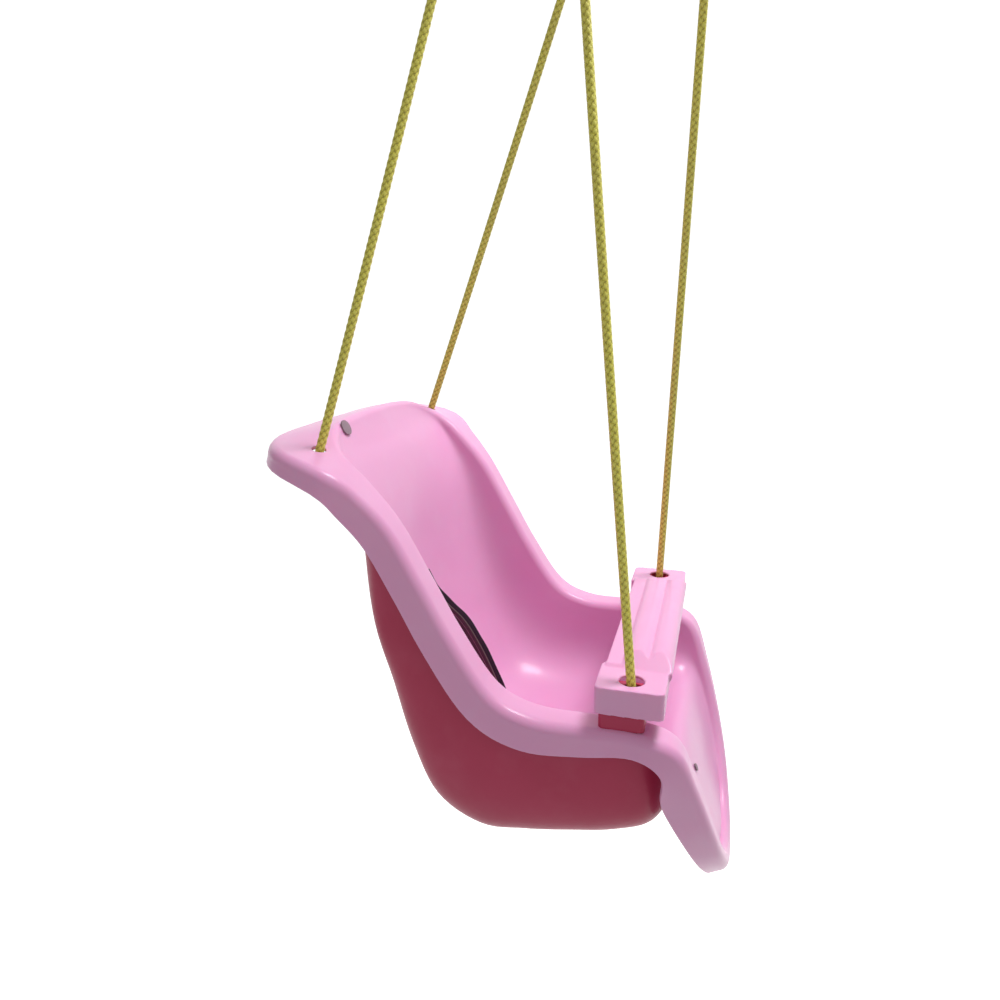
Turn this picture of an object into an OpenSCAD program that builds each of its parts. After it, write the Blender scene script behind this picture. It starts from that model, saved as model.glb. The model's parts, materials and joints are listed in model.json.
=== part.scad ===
// Toddler bucket swing: a moulded bucket seat with a rolled rim, an outer tub, a guard bar that lifts
// along the front ropes, four ropes with stopper knots, and a swivel hanger on a ceiling hook.
// +X is the way the child faces, +Y the child's left, +Z up. Millimetres.
// The origin is on the shank axis of the ceiling hook, in the face of the beam it is screwed into.

/* [Hanger] */
// Height from the guard's top face up to the hang bar's top face
hang_height = 940; // [800:10:1200]
// Half the spacing of the two rope points on the hang bar
hang_half = 72; // [60:1:90]
// Thickness of the hang bar
bar_thick = 8; // [6:1:12]

/* [Ropes] */
// Diameter of the braided rope
rope_d = 8; // [6:0.5:9]
// Half the spacing of the front ropes at the guard
front_half = 145; // [143:1:147]

/* [Seat] */
// Wall thickness of the seat moulding
shell_wall = 3; // [2.4:0.2:3.6]
// Wall thickness of the outer tub
tub_wall = 3; // [2.4:0.2:3.6]
// Height of the crown in the middle of the backrest's top edge
back_crown = 208; // [200:1:214]

/* [Guard bar] */
// Length of each end block along the seat
block_x = 60; // [56:1:64]
// Depth of each end block
block_z = 25; // [22:1:28]
// Diameter of the rope hole in each end block
guard_hole_d = 22; // [20:1:24]
// Height of the two ridges over the end blocks
ridge_rise = 10; // [8:1:12]

/* [Hidden] */

PINK = [0.93, 0.66, 0.82];
ROSE = [0.55, 0.20, 0.31];
YELLOW = [0.80, 0.74, 0.25];
STEEL = [0.70, 0.71, 0.73];
NAVY = [0.16, 0.12, 0.20];

// Hanger: the hook's bowl, the eye that hangs in it, and the bar under the eye
hook_wire_r = 4;
hook_bowl_r = 15;
shank_r = 4;
shank_len = 45;
flange_r = 11;
flange_t = 3;
bowl_drop = 40;
eye_hole_r = 9;
eye_wire_r = 4;
// How far the eye's centre hangs under the middle of the hook's wire
eye_drop = 4.7;
eye_shank_r = 4;
eye_neck = 22;
// Angles round the bowl, in degrees: how far the wire turns and where it leaves the drop rod
hook_turn = 300;
hook_start = 87;
collar_r = 9;
collar_h = 3;
nut_r = 8;
nut_h = 6.5;
shank_tip = 4;
bar_w = 44;
// Half the spacing across the bar of the front and the rear rope of one side
pair_half = 10.5;
swivel_gap = 0.05;
pivot_z = -bowl_drop - hook_bowl_r;
bar_top_z = pivot_z - eye_drop - eye_hole_r - 2 * eye_wire_r - eye_neck;

// The seat's weight lies behind the bar's middle, so all that hangs from the hook leans back
hang_lean = 4.5;

// The seat's own frame: its origin is midway between the two rope holes in the guard's top face
seat_x = 42;
seat_z = bar_top_z - hang_height;

// Rope ends in the seat's frame, right side (-Y); the left side mirrors the lower ends
rear_hole = [-285, 142, 184];
front_hole = [0, front_half, 0];
rope_hole_r = 6.5;
// Heights of the washers' top faces, under the rim at the rear and the front rope holes
rear_low = 178.8;
front_low = -46.6;
// Height of the rim's wall where the rear and the front ropes go through it
rear_rim = 184;
front_rim = -41.5;
hole_reach = 12;
knot_r = 9.5;
knot_h = 16;
knot_bulge = 6;
washer_r = 10;
washer_t = 1.6;
// Sides of a rope's section, and lengths of tube between its rings
rope_sides = 10;
rope_rings = 19;
// How far each rope's end is tucked into its knot
rope_tuck = 2;
// How far each rope hangs out of its straight line at the middle
rope_sag = 2;

// Rim: the inner corner of the flange from the back's middle round the left side to the apron's tip
CREST = [[-290, 0, back_crown], [-290, 50, back_crown - 1], [-286, 98, 201], [-268, 126, 184],
         [-240, 129, 158], [-211, 129, 124], [-183, 129, 76], [-155, 129, 27], [-121, 129, -21],
         [-85, 129, -38], [-40, 129, -40], [5, 129, -40], [40, 127, -52], [59, 120, -92],
         [74, 107, -138], [86, 84, -182], [93, 46, -216], [95, 0, -227]];
// Floor line of the bucket at the same stations
FLOOR = [[-284, 190], [-282, 186], [-277, 176], [-268, 160], [-258, 132], [-250, 96], [-243, 50],
         [-231, -4], [-208, -68], [-172, -120], [-110, -139], [-46, -136], [6, -120], [39, -114],
         [58, -142], [72, -182], [83, -210], [87, -218]];
// Direction of the rim's up normal in the XZ plane at the same stations, in degrees
TILT = [104, 103, 98, 84, 52, 36, 30, 33, 50, 76, 90, 90, 60, 26, 19, 16, 14, 14];
// Width of the flange and depth of the skirt at the same stations
FLANGE = [54, 57, 64, 62, 46, 38, 37, 37, 37, 37, 37, 37, 35, 30, 25, 22, 21, 21];
SKIRT = [16, 16, 15, 19, 26, 28, 28, 29, 30, 30, 25, 20, 27, 34, 30, 24, 19, 17];
rim_in_r = 8;
rim_out_r = 10;
STATION_SPLIT = 3;
WALL_STEPS = 9;
section_power = 3.2;

// Outer tub: top edge loop, from the back's middle round the left side to the front's middle
TUB_TOP = [[-264, 0, 110], [-263, 60, 110], [-259, 106, 107], [-238, 134, 88], [-208, 137, 64],
           [-178, 138, 14], [-146, 138, -32], [-112, 138, -54], [-70, 138, -56], [-30, 138, -57],
           [2, 137, -66], [26, 122, -98], [36, 66, -130], [37, 0, -134]];
// Floor line of the tub at the same stations
TUB_FLOOR = [[-260, 90], [-258, 72], [-252, 36], [-242, -10], [-230, -64], [-215, -124],
             [-192, -176], [-148, -201], [-104, -198], [-60, -190], [-16, -179], [18, -166],
             [33, -157], [36, -151]];
TUB_STEPS = 9;
tub_power = 4.5;

// Guard bar: hollow end blocks, and a bar between them whose two ridges run out over a ramp
block_y = 52;
block_out = front_half + 17;
guard_wall = 3;
guard_corner = 6;
bar_back = -26;
bar_front = 30;
bar_half = 120;
ramp_half = 99;
shelf_rise = 2;
ridge_x = [1, 21];
ridge_r = [14, 12];
// The ropes lean in as they rise, so each hole sits where its rope is at half the guard's lift
guard_lift = 50;
// Saddles on the rim that the end blocks come down over
saddle_x = 40;
saddle_y = 21.4;
saddle_at = [-6, front_half + 2.8];
saddle_corner = 5;
saddle_bore_r = 8.2;
part_gap = 0.3;
crest_z = -40;

// Rivets: their heads, their pins, and where the single ones sit
rivet_head_t = 1.6;
tub_rivet_r = 5;
back_rivet_r = 7.5;
apron_rivet_r = 3.6;
anchor_rivet_r = 5.5;
rivet_pin_r = 2.5;
rivet_pin_len = 7;
tub_rivet_len = 12;
tub_rivet_drop = 8;
TUB_RIVET_STATIONS = [15, 21, 27];
back_rivet_at = [-287, -84, 197.4];
back_rivet_dir = [0.9, 0, 0.43];
apron_rivet_at = [57, -36, -139];
apron_rivet_dir = [0.9, 0, 0.43];

// Belt, from its rivet on the right wall down on to the pan, in the seat's frame: [x, y, z] and the
// tilt of its face in degrees, 0 facing the left wall and 90 facing up
BELT = [[-200, -125.8, 72, 0], [-190, -124.6, 54, 0], [-179, -119, 39, 5], [-167, -111, 23, 10],
        [-155, -106, 1, 15], [-144, -104, -22, 20], [-133, -103, -47, 32], [-122, -100, -70, 45],
        [-108, -96, -96, 60], [-86, -85, -113, 72], [-62, -73, -119, 78], [-44, -64, -119, 80]];
belt_w = 25;
belt_t = 2;
plug_w = 30;
plug_t = 9;
plug_l = 34;
tongue_w = 22;
tongue_l = 18;
tongue_t = 3;
plug_rise = 3;
plug_lap = 13;
tongue_lap = 5;
// Where the belt's rivet is, from the belt's first point: along the wall and down
anchor_shift = [3, belt_t / 2, -5];

// ---------------------------------------------------------------- curves and surfaces

// Catmull-Rom point between p1 and p2
function blend4(p0, p1, p2, p3, t) =
    0.5 * (2 * p1 + (p2 - p0) * t + (2 * p0 - 5 * p1 + 4 * p2 - p3) * t * t
           + (3 * p1 - p0 - 3 * p2 + p3) * t * t * t);
// Table entry with both ends mirrored across the XZ plane (points) or repeated (numbers)
function flip(p) = is_num(p) ? p : len(p) == 3 ? [p[0], -p[1], p[2]] : p;
function entry(tab, i) =
    i < 0 ? flip(tab[-i]) : i >= len(tab) ? flip(tab[2 * len(tab) - 2 - i]) : tab[i];
function smooth(tab, split) = [
    for (i = [0 : (len(tab) - 1) * split])
        let (a = min(floor(i / split), len(tab) - 2), t = i / split - a)
        blend4(entry(tab, a - 1), entry(tab, a), entry(tab, a + 1), entry(tab, a + 2), t)];
function unit(v) = v / norm(v);

// Points of the rim's section, in (outward, up) from the flange's inner corner
function rim_path(w, h) = concat(
    [for (a = [0 : 30 : 90]) [rim_in_r * (1 - cos(a)), rim_in_r * (sin(a) - 1)]],
    [for (a = [0 : 30 : 90]) [w - rim_out_r + rim_out_r * sin(a), rim_out_r * (cos(a) - 1)]],
    [[w + 1, -(rim_out_r + h) / 2], [w + 2, -h]]);

// Half a cross-section: from the floor's middle, up the wall and over the rim to the skirt's edge
function wall_path(s, e, steps, power) = [
    for (k = [0 : steps])
        let (a = 90 * k / steps, side = pow(sin(a), 2 / power), rise = 1 - pow(cos(a), 2 / power))
        [s[0] + (e[0] - s[0]) * rise, e[1] * side, s[1] + (e[2] - s[1]) * rise]];

function seat_section(c, s, tangent, tilt, w, h) =
    let (up = [cos(tilt), 0, sin(tilt)], out = unit(cross(up, tangent)))
    concat(wall_path(s, c - rim_in_r * up, WALL_STEPS, section_power),
           [for (q = rim_path(w, h)) if (q[1] > -rim_in_r || q[0] > 0) c + q[0] * out + q[1] * up]);

function tangents(c) = [
    for (i = [0 : len(c) - 1])
        unit((i == len(c) - 1 ? flip(c[i - 1]) : c[i + 1]) - (i == 0 ? flip(c[1]) : c[i - 1]))];

// Closed thin shell over half sections H[i][k]: mirrored across the XZ plane and thickened by wall
// on the side of its outward normal. The first and last stations lie in the XZ plane.
module thin_shell(H, wall) {
    n = len(H) - 1;
    m = len(H[0]) - 1;
    function pt(i, j) =
        i < 0 ? flip(pt(-i, j)) : i > n ? flip(pt(2 * n - i, j))
        : j >= 0 ? H[i][j] : flip(H[i][-j]);
    function face_normal(i, j) =
        let (at_end = i == 0 || i == n,
             a = i == 0 ? [0, 1, 0] : i == n ? [0, -1, 0] : pt(i + 1, j) - pt(i - 1, j),
             b = pt(i, min(j + 1, m)) - pt(i, max(j - 1, at_end ? 0 : -m)))
        unit(cross(b, a));
    function outer(i, j) =
        let (v = face_normal(i, j), u = i == 0 || i == n || j == 0 ? [v[0], 0, v[2]] : v)
        pt(i, j) + wall * unit(u);
    // One index per place: at the two end stations the left and right halves share their points
    function place(i, j) =
        i == 0 ? abs(j) : i == n ? m + 1 + abs(j) : 2 * (m + 1) + (i - 1) * (2 * m + 1) + j + m;
    count = 2 * (m + 1) + (n - 1) * (2 * m + 1);
    ends = [for (i = [0, n], j = [0 : m]) [i, j]];
    mids = [for (i = [1 : n - 1], j = [-m : m]) [i, j]];
    spots = concat(ends, mids);
    points = concat([for (q = spots) pt(q[0], q[1])], [for (q = spots) outer(q[0], q[1])]);
    inner_faces = [for (i = [0 : n - 1], j = [-m : m - 1])
        for (f = [[place(i, j), place(i + 1, j + 1), place(i + 1, j)],
                  [place(i, j), place(i, j + 1), place(i + 1, j + 1)]]) f];
    outer_faces = [for (f = inner_faces) [f[0] + count, f[2] + count, f[1] + count]];
    edge = [for (i = [0 : n - 1], j = [-m, m])
        let (a = place(i, j), b = place(i + 1, j), s = j < 0)
        for (f = s ? [[a, b, b + count], [a, b + count, a + count]]
                   : [[a, b + count, b], [a, a + count, b + count]]) f];
    polyhedron(points, concat(inner_faces, outer_faces, edge), convexity = 10);
}

// Round tube swept along a nearly straight path, its rings all square to the line between the ends
module tube(path, d, sides) {
    n = len(path);
    u = unit(cross(path[n - 1] - path[0], [0, 1, 0]));
    v = unit(cross(path[n - 1] - path[0], u));
    points = [for (p = path, k = [0 : sides - 1])
        p + d / 2 * (cos(360 * k / sides) * u + sin(360 * k / sides) * v)];
    walls = [for (i = [0 : n - 2], k = [0 : sides - 1])
        [i * sides + k, i * sides + (k + 1) % sides, (i + 1) * sides + (k + 1) % sides, (i + 1) * sides + k]];
    caps = [[for (k = [sides - 1 : -1 : 0]) k], [for (k = [0 : sides - 1]) (n - 1) * sides + k]];
    polyhedron(points, concat(walls, caps));
}

// Leans its children back about the hook's bowl
module hung() {
    translate([0, 0, pivot_z]) rotate([0, -hang_lean, 0]) translate([0, 0, -pivot_z]) children();
}
module in_seat() { hung() translate([seat_x, 0, seat_z]) children(); }
// Lays its children's Z along v
module aim(v) {
    rotate([0, acos(v[2] / norm(v)), atan2(v[1], v[0])]) children();
}

// ---------------------------------------------------------------- hanger

// Screw hook: shank into the beam, collar, drop rod and an open bowl in the YZ plane
module ceiling_hook() {
    color(STEEL) union() {
        cylinder(h = shank_len, r = shank_r, $fn = 48);
        translate([0, 0, -flange_t]) cylinder(h = flange_t, r = flange_r, $fn = 64);
        translate([0, 0, -bowl_drop + hook_bowl_r])
            cylinder(h = bowl_drop - hook_bowl_r, r = hook_wire_r, $fn = 48);
        translate([0, 0, -bowl_drop]) rotate([90, 0, 90]) rotate([0, 0, hook_start])
            rotate_extrude(angle = hook_turn, $fn = 96)
                translate([hook_bowl_r, 0]) circle(r = hook_wire_r, $fn = 32);
    }
}

// Eye in the XZ plane on a collared shank that turns in the bar
module swivel_eye() {
    ring_z = pivot_z - eye_drop;
    ring_r = eye_hole_r + eye_wire_r;
    shank_end = bar_top_z - bar_thick - nut_h - shank_tip;
    color(STEEL) hung() union() {
        translate([0, 0, ring_z]) rotate([90, 0, 0])
            rotate_extrude($fn = 96) translate([ring_r, 0]) circle(r = eye_wire_r, $fn = 32);
        translate([0, 0, shank_end]) cylinder(h = ring_z - ring_r - shank_end, r = eye_shank_r, $fn = 48);
        translate([0, 0, bar_top_z + part_gap]) cylinder(h = collar_h, r = collar_r, $fn = 48);
    }
}
module eye_nut() {
    color(STEEL) hung() translate([0, 0, bar_top_z - bar_thick - part_gap - nut_h])
        difference() {
            cylinder(h = nut_h, r = nut_r, $fn = 6);
            translate([0, 0, -1]) cylinder(h = nut_h + 2, r = eye_shank_r, $fn = 48);
        }
}

// Flat bar with round ends, a bore for the swivel eye and a hole for each rope
module hang_bar() {
    color(STEEL) hung() translate([0, 0, bar_top_z - bar_thick]) difference() {
        linear_extrude(bar_thick) union() {
            square([2 * hang_half, bar_w], center = true);
            for (s = [-1, 1]) translate([s * hang_half, 0]) circle(d = bar_w, $fn = 64);
        }
        translate([0, 0, -1]) cylinder(h = bar_thick + 2, r = eye_shank_r + swivel_gap, $fn = 64);
        for (rear = [true, false], side = [-1, 1])
            let (p = along(rear, side, hang_height - bar_thick / 2))
            translate([p[0] + seat_x, p[1], -1]) cylinder(h = bar_thick + 2, r = rope_hole_r, $fn = 48);
    }
}

// ---------------------------------------------------------------- ropes

// side is -1 for the child's right and 1 for the left; rear is true for the backrest's ropes
function low_hole(rear, side) =
    let (p = rear ? rear_hole : front_hole)
    [p[0], side * p[1], p[2]];
function top_hole(rear, side) =
    [-seat_x + side * hang_half, side * (rear ? -pair_half : pair_half), hang_height];
function rope_axis(rear, side) = unit(top_hole(rear, side) - low_hole(rear, side));
function along(rear, side, z) =
    let (a = rope_axis(rear, side), p = low_hole(rear, side))
    p + a * (z - p[2]) / a[2];
function low_z(rear) = rear ? rear_low : front_low;
function rim_z(rear) = rear ? rear_rim : front_rim;

// Point at share t of the way up a rope, with its slight sag square to the line between the ends
function rope_point(rear, side, t) =
    let (low = along(rear, side, low_z(rear) - washer_t - rope_tuck),
         high = along(rear, side, hang_height + rope_tuck),
         axis = rope_axis(rear, side))
    low + (high - low) * t + 4 * rope_sag * t * (1 - t) * unit(axis * axis[2] - [0, 0, 1]);

module rope(rear, side) {
    color(YELLOW) in_seat()
        tube([for (i = [0 : rope_rings]) rope_point(rear, side, i / rope_rings)], rope_d, rope_sides);
}
module knot_shape() {
    rotate_extrude($fn = 48)
        polygon(concat([[0, 0]], [for (a = [-60 : 30 : 60])
            [knot_r - knot_bulge + knot_bulge * cos(a), knot_h / 2 * (1 + sin(a) / sin(60))]],
            [[0, knot_h]]));
}
module top_knot(rear, side) {
    color(YELLOW) in_seat() translate(along(rear, side, hang_height)) knot_shape();
}
module seat_knot(rear, side) {
    color(YELLOW) in_seat()
        translate(along(rear, side, low_z(rear) - washer_t) - [0, 0, knot_h]) knot_shape();
}
module knot_washers() {
    color(STEEL) in_seat()
        for (rear = [true, false], side = [-1, 1])
            translate(along(rear, side, low_z(rear)) - [0, 0, washer_t])
                difference() {
                    cylinder(h = washer_t, r = washer_r, $fn = 48);
                    translate([0, 0, -1]) cylinder(h = washer_t + 2, r = rope_hole_r, $fn = 48);
                }
}

// ---------------------------------------------------------------- seat

crest = smooth(CREST, STATION_SPLIT);
seat_floor = smooth(FLOOR, STATION_SPLIT);
tilts = smooth(TILT, STATION_SPLIT);
flanges = smooth(FLANGE, STATION_SPLIT);
skirts = smooth(SKIRT, STATION_SPLIT);
crest_dir = tangents(crest);
seat_half = [for (i = [0 : len(crest) - 1])
    seat_section(crest[i], seat_floor[i], crest_dir[i], tilts[i], flanges[i], skirts[i])];

module seat_shell() {
    color(PINK) in_seat() difference() {
        thin_shell(seat_half, shell_wall);
        for (rear = [true, false], side = [-1, 1])
            translate(along(rear, side, rim_z(rear)) - [0, 0, hole_reach])
                cylinder(h = 2 * hole_reach, r = rope_hole_r, $fn = 32);
    }
}

tub_top = smooth(TUB_TOP, STATION_SPLIT);
tub_floor = smooth(TUB_FLOOR, STATION_SPLIT);
tub_half = [for (i = [0 : len(tub_top) - 1]) wall_path(tub_floor[i], tub_top[i], TUB_STEPS, tub_power)];

module outer_tub() {
    color(ROSE) in_seat() thin_shell(tub_half, tub_wall);
}

// Rivets through the tub's top edge and the seat's wall, tucked under the flange
module tub_rivets() {
    color(STEEL) in_seat()
        for (i = TUB_RIVET_STATIONS, side = [-1, 1])
            let (p = tub_half[i][TUB_STEPS])
            translate([p[0], side * (p[1] + tub_wall), p[2] - tub_rivet_drop])
                rivet([0, side, 0], tub_rivet_r, tub_rivet_len);
}

// ---------------------------------------------------------------- guard bar

// Rounded rectangle centred on the origin
module round_rect(x, y, r) {
    square([x - 2 * r, y], center = true);
    square([x, y - 2 * r], center = true);
    for (a = [-1, 1], b = [-1, 1]) translate([a * (x / 2 - r), b * (y / 2 - r)]) circle(r = r, $fn = 48);
}
// Section of the bar in XZ, inset by t: a flat body and two round ridges
module bar_section(t) {
    translate([bar_back + t, -block_z - t])
        square([bar_front - bar_back - 2 * t, block_z + shelf_rise]);
    for (i = [0, 1]) translate([ridge_x[i], ridge_rise - ridge_r[i]]) circle(r = ridge_r[i] - t, $fn = 64);
}
// The bar inset by t, its ends cut to the ramps
module bar_run(t) {
    intersection() {
        rotate([90, 0, 0]) linear_extrude(2 * bar_half, center = true) bar_section(t);
        rotate([90, 0, 90]) linear_extrude(2 * block_x, center = true)
            polygon([for (s = [-1, 1], q = s < 0 ? [2, 1, 0] : [0, 1, 2])
                q == 0 ? [s * ramp_half, ridge_rise - t]
                : [s * (bar_half - t), q == 1 ? -t : -block_z - t]]);
    }
}
module guard_bar() {
    block_mid = block_out - block_y / 2;
    color(PINK) in_seat() difference() {
        union() {
            for (s = [-1, 1]) translate([0, s * block_mid, -block_z])
                linear_extrude(block_z) round_rect(block_x, block_y, guard_corner);
            bar_run(0);
        }
        for (s = [-1, 1]) translate([0, s * block_mid, -block_z - 1])
            linear_extrude(block_z - guard_wall + 1)
                round_rect(block_x - 2 * guard_wall, block_y - 2 * guard_wall, guard_corner - guard_wall);
        bar_run(guard_wall);
        for (s = [-1, 1])
            translate([0, along(false, s, guard_lift / 2)[1], -block_z])
                cylinder(h = 2 * block_z, d = guard_hole_d, $fn = 64);
    }
}

// Saddle on the rim that carries one end block, with the front rope through it
module guard_saddle(side) {
    hole = along(false, side, crest_z / 2);
    color(ROSE) in_seat() difference() {
        translate([saddle_at[0], side * saddle_at[1], crest_z])
            linear_extrude(-crest_z - guard_wall - part_gap) round_rect(saddle_x, saddle_y, saddle_corner);
        translate([hole[0], hole[1], 2 * crest_z])
            cylinder(h = -2 * crest_z, r = saddle_bore_r, $fn = 64);
    }
}

// ---------------------------------------------------------------- rivets and belt

// Flat-headed rivet: its head stands on the origin, facing v, and its pin runs back along v
module rivet(v, head_r, back) {
    aim(v) {
        cylinder(h = rivet_head_t, r = head_r, $fn = 48);
        translate([0, 0, -back]) cylinder(h = back + rivet_head_t / 2, r = rivet_pin_r, $fn = 32);
    }
}
module back_rivet() {
    color(STEEL) in_seat() translate(back_rivet_at) rivet(back_rivet_dir, back_rivet_r, rivet_pin_len);
}
module apron_rivet() {
    color(STEEL) in_seat() translate(apron_rivet_at) rivet(apron_rivet_dir, apron_rivet_r, rivet_pin_len);
}

function belt_at(i) = [BELT[i][0], BELT[i][1], BELT[i][2]];
function belt_dir(i) = unit(belt_at(min(i + 1, len(BELT) - 1)) - belt_at(max(i - 1, 0)));
function belt_side(i) = unit(cross(belt_dir(i), [0, cos(BELT[i][3]), sin(BELT[i][3])]));
function belt_up(i) = cross(belt_side(i), belt_dir(i));

// Flat strap swept along BELT
module belt_strap() {
    n = len(BELT);
    points = [for (i = [0 : n - 1], q = [[-1, -1], [1, -1], [1, 1], [-1, 1]])
        belt_at(i) + q[0] * belt_w / 2 * belt_side(i) + q[1] * belt_t / 2 * belt_up(i)];
    walls = [for (i = [0 : n - 2], k = [0 : 3])
        let (a = 4 * i + k, b = 4 * i + (k + 1) % 4)
        for (f = [[a, b + 4, a + 4], [a, b, b + 4]]) f];
    color(NAVY) in_seat()
        polyhedron(points, concat(walls, [[3, 2, 1, 0], [for (k = [0 : 3]) 4 * n - 4 + k]]));
}
// Plug on the strap's loose end: a rounded body the strap enters, and its slotted tongue
module belt_plug() {
    end = len(BELT) - 1;
    dir = belt_dir(end);
    color(NAVY) in_seat() translate(belt_at(end) + [0, 0, plug_rise])
        rotate([0, -asin(dir[2]), atan2(dir[1], dir[0])]) difference() {
            union() {
                translate([plug_lap, 0, -plug_t / 2]) linear_extrude(plug_t)
                    round_rect(plug_l, plug_w, guard_corner);
                translate([plug_l - tongue_lap, -tongue_w / 2, -tongue_t / 2])
                    cube([tongue_l, tongue_w, tongue_t]);
            }
            translate([plug_l + 1, -tongue_w / 4, -tongue_t])
                cube([tongue_l / 3, tongue_w / 2, 2 * tongue_t]);
        }
}
module belt_anchor() {
    color(STEEL) in_seat() translate(belt_at(0) + anchor_shift)
        rivet([0, 1, 0], anchor_rivet_r, rivet_pin_len);
}

ceiling_hook();
swivel_eye();
eye_nut();
hang_bar();
rope(true, -1);  // rope_rear_right
rope(true, 1);  // rope_rear_left
rope(false, -1);  // rope_front_right
rope(false, 1);  // rope_front_left
top_knot(true, -1);  // knot_top_rear_right
top_knot(true, 1);  // knot_top_rear_left
top_knot(false, -1);  // knot_top_front_right
top_knot(false, 1);  // knot_top_front_left
seat_knot(true, -1);  // knot_seat_rear_right
seat_knot(true, 1);  // knot_seat_rear_left
seat_knot(false, -1);  // knot_seat_front_right
seat_knot(false, 1);  // knot_seat_front_left
knot_washers();
seat_shell();
outer_tub();
tub_rivets();
guard_saddle(-1);  // guard_saddle_right
guard_saddle(1);  // guard_saddle_left
guard_bar();
back_rivet();
apron_rivet();
belt_strap();
belt_plug();
belt_anchor();
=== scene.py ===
"""The toddler bucket swing's looks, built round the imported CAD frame.

Metres; +X is the way the child faces, +Y the child's left, +Z up.
"""
import json
import math

import bpy
import bmesh
import numpy as np
from mathutils import Euler, Matrix, Vector

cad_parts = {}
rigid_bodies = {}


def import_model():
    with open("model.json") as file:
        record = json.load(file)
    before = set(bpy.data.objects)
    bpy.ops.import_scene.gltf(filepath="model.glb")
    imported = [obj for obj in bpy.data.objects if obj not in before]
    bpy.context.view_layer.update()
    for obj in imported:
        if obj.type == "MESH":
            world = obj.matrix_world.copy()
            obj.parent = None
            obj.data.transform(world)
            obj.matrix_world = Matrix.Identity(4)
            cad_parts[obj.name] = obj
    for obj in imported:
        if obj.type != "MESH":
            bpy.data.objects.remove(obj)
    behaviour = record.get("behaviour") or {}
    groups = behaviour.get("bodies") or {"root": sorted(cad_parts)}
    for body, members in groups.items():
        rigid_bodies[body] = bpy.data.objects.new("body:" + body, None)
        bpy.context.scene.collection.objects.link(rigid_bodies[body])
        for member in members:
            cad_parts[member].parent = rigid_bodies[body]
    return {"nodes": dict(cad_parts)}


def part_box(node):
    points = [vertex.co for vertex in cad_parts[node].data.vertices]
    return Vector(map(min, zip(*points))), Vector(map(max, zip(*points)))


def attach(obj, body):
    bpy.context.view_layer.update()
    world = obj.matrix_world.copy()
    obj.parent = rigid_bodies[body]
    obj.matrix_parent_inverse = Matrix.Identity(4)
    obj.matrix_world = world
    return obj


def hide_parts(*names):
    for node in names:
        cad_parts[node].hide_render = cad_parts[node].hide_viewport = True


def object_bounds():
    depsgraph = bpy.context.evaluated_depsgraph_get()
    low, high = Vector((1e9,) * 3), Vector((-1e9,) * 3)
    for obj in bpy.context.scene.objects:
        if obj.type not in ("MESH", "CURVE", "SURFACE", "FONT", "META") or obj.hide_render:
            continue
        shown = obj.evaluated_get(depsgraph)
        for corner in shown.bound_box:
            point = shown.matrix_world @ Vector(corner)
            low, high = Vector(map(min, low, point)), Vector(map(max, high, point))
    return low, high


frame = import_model()
CAD_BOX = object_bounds()
MM = 0.001
scene = bpy.context.scene

# ------------------------------------------------------------------ places taken from the frame

# All that hangs from the hook leans back about the bottom of the hook's bowl
HOOK_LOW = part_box("ceiling_hook")[0]
HOOK_WIRE_R = 4 * MM
HANG_LEAN = math.radians(4.5)
PIVOT = Vector((0, 0, HOOK_LOW.z + HOOK_WIRE_R))
# The seat's own origin, from the pivot before the lean, is midway between the guard's two rope holes
SEAT_X = 42
SEAT_DROP = 983.7
HANG_HEIGHT = 940
LEAN = Matrix.Rotation(-HANG_LEAN, 3, "Y")


def in_seat(x, y, z):
    """A point given in millimetres in the seat's own frame."""
    return PIVOT + LEAN @ (Vector((SEAT_X + x, y, z - SEAT_DROP)) * MM)


# ------------------------------------------------------------------ camera

CAMERA_AT = (60.4, -777.9, 318.9)
CAMERA_PITCH = 14.2
CAMERA_YAW = 15.6
CAMERA_LENS = 28.88


def make_camera():
    data = bpy.data.cameras.new("camera")
    data.lens = CAMERA_LENS
    data.sensor_width = 36
    data.clip_start = 0.02
    cam = bpy.data.objects.new("camera", data)
    cam.location = in_seat(*CAMERA_AT)
    aim = Euler((math.radians(90 - CAMERA_PITCH), 0, math.radians(CAMERA_YAW))).to_matrix()
    cam.rotation_euler = (LEAN @ aim).to_euler()
    scene.collection.objects.link(cam)
    scene.camera = cam


make_camera()


# ------------------------------------------------------------------ mesh helpers

def new_object(name, mesh):
    obj = bpy.data.objects.new(name, mesh)
    scene.collection.objects.link(obj)
    return obj


def mesh_object(name, verts, faces):
    mesh = bpy.data.meshes.new(name)
    mesh.from_pydata([tuple(v) for v in verts], [], faces)
    mesh.update()
    mesh.polygons.foreach_set("use_smooth", [True] * len(mesh.polygons))
    return new_object(name, mesh)


def apply_modifiers(obj):
    graph = bpy.context.evaluated_depsgraph_get()
    mesh = bpy.data.meshes.new_from_object(obj.evaluated_get(graph))
    obj.modifiers.clear()
    obj.data = mesh


def stand_in(obj, body, node):
    """Makes obj ride on a body, and stand for a CAD node, which it hides."""
    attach(obj, body)
    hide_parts(node)
    return obj


def unit(v):
    return v / np.linalg.norm(v)


# A direction that no rope, knot or belt starts along
ASIDE = (0.3, 0.9, 0.1)


def cross_directions(path):
    """Two directions square to the path at each point, carried along without twist."""
    tangents = np.gradient(path, axis=0)
    tangents /= np.linalg.norm(tangents, axis=1)[:, None]
    side = unit(np.cross(tangents[0], ASIDE))
    sides = []
    for t in tangents:
        side = unit(side - t * (side @ t))
        sides.append(side)
    sides = np.array(sides)
    return sides, np.cross(tangents, sides)


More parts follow.
